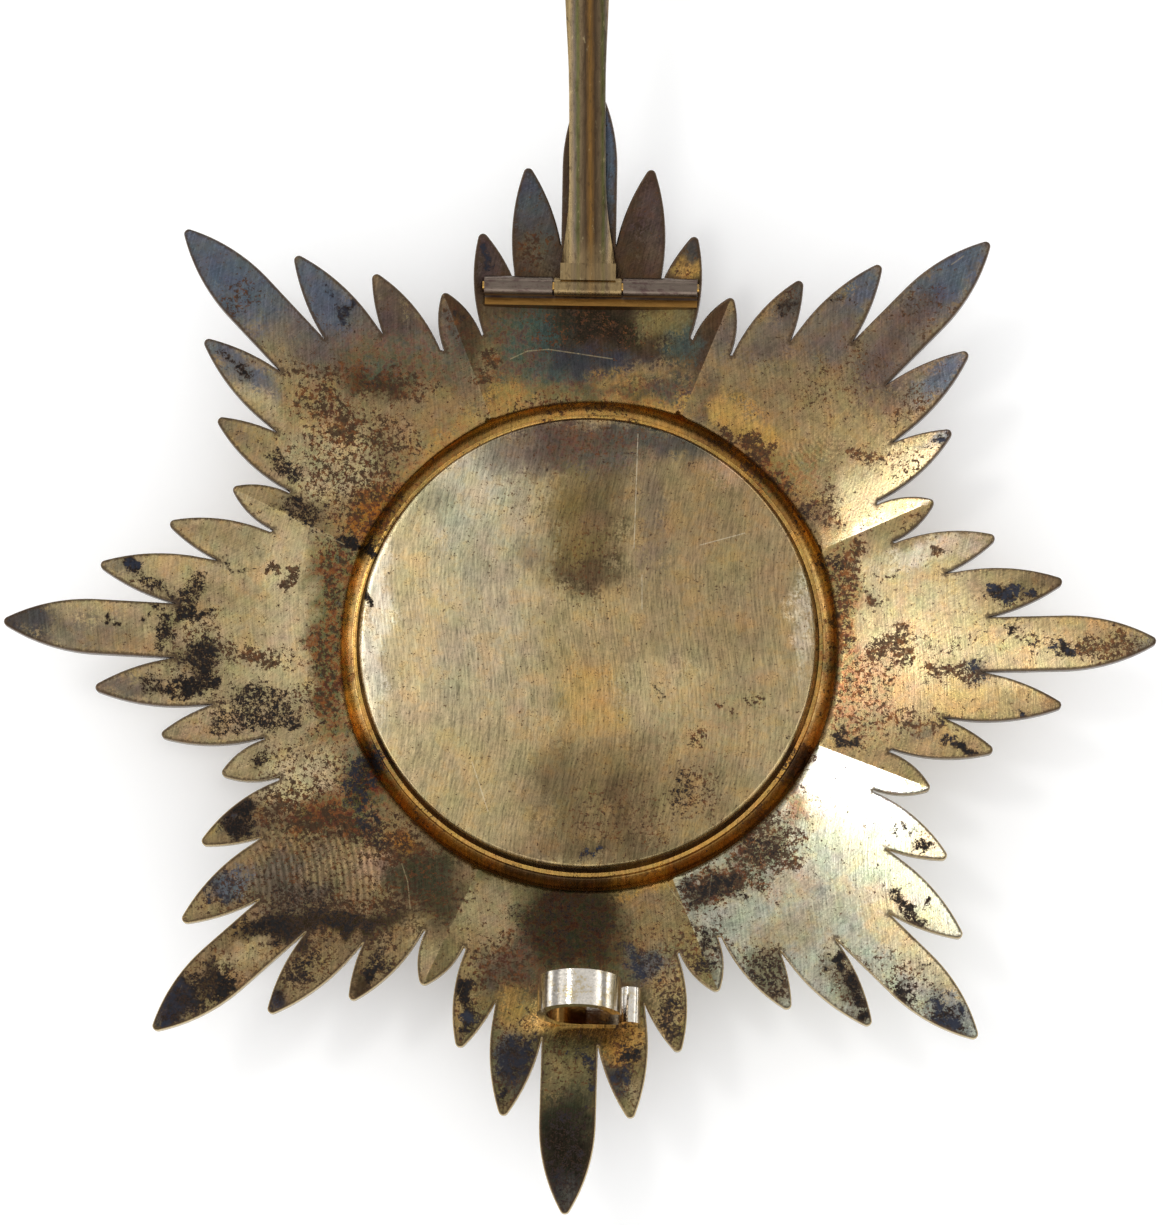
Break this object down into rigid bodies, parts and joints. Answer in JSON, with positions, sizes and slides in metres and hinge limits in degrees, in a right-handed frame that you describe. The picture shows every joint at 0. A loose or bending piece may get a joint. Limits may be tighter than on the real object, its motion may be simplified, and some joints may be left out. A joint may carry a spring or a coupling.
{
  "type": "breast star",
  "caption": "Rayed metal breast star with a closed back, a hinged pin that swings open and a hooked catch, lying on its front.",
  "frame": {"origin": "middle of the flat front face that the star rests on", "axes": "+Z out of the back of the star, +Y from the catch to the pin's hinge, +X to the right seen from behind"},
  "size_m": [0.088, 0.1316, 0.018],
  "materials": {
    "star_gilt": "worn, patchy gilding on silver with brown and blue tarnish",
    "back_silver": "brushed silver, faintly gilt, scratched",
    "front_silver": "plain satin silver",
    "hinge_metal": "tarnished silver, purple-brown",
    "wire_gilt": "gilt wire",
    "pin_gilt": "worn gilt, brushed along its length",
    "catch_silver": "polished silver"
  },
  "bodies": {
    "star": {"star_plate": "star_gilt", "back_plate": "back_silver", "front_medallion": "front_silver", "hinge_leaf": "hinge_metal", "hinge_wire": "wire_gilt", "catch": "catch_silver"},
    "pin": {"pin": "pin_gilt"}
  },
  "joints": [
    {"name": "pin_hinge", "type": "hinge", "parent": "star", "child": "pin", "pos_m": [0.0003, 0.0275, 0.00845], "axis": [1, 0, 0], "range_deg": [0, 166]}
  ]
}
